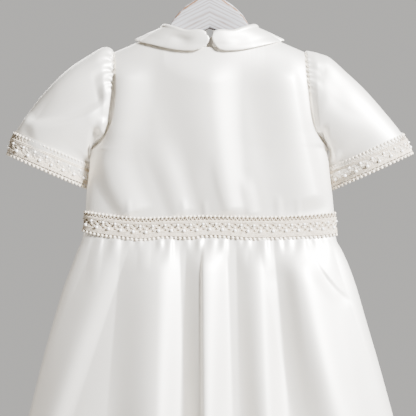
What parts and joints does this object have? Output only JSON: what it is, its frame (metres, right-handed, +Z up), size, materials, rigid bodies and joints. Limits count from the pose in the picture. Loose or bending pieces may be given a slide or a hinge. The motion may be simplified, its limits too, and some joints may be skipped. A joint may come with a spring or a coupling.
{
  "type": "christening gown on a clothes hanger",
  "caption": "Baby's long ivory satin gown with a round collar, gathered short sleeves, lace-trimmed waist and cuffs and a full skirt, hung on a white-washed wooden hanger.",
  "frame": {"origin": "inside top of the hanger's hook, where a rail or peg carries it", "axes": "+Z up, +X to the right seen from the front, the front of the gown faces -Y"},
  "size_m": [0.577, 0.1695, 0.9039],
  "materials": {
    "satin": "ivory duchess satin, soft sheen",
    "lace": "cream corded cotton lace with small pearls",
    "white_washed_wood": "white-washed, grain and worn brown edges showing",
    "steel_wire": "bright drawn wire",
    "pearl_button": "pearly gloss"
  },
  "bodies": {
    "root": {"bodice_front": "satin", "bodice_back_left": "satin", "bodice_back_right": "satin", "collar_left": "satin", "collar_right": "satin", "sleeve_left": "satin", "sleeve_right": "satin", "cuff_lace_left": "lace", "cuff_lace_right": "lace", "waist_lace": "lace", "skirt_front": "satin", "skirt_back": "satin", "hanger_wood": "white_washed_wood", "hanger_hook": "steel_wire", "back_button_1": "pearl_button", "back_button_2": "pearl_button", "back_button_3": "pearl_button", "back_button_4": "pearl_button", "back_button_5": "pearl_button"}
  },
  "joints": []
}
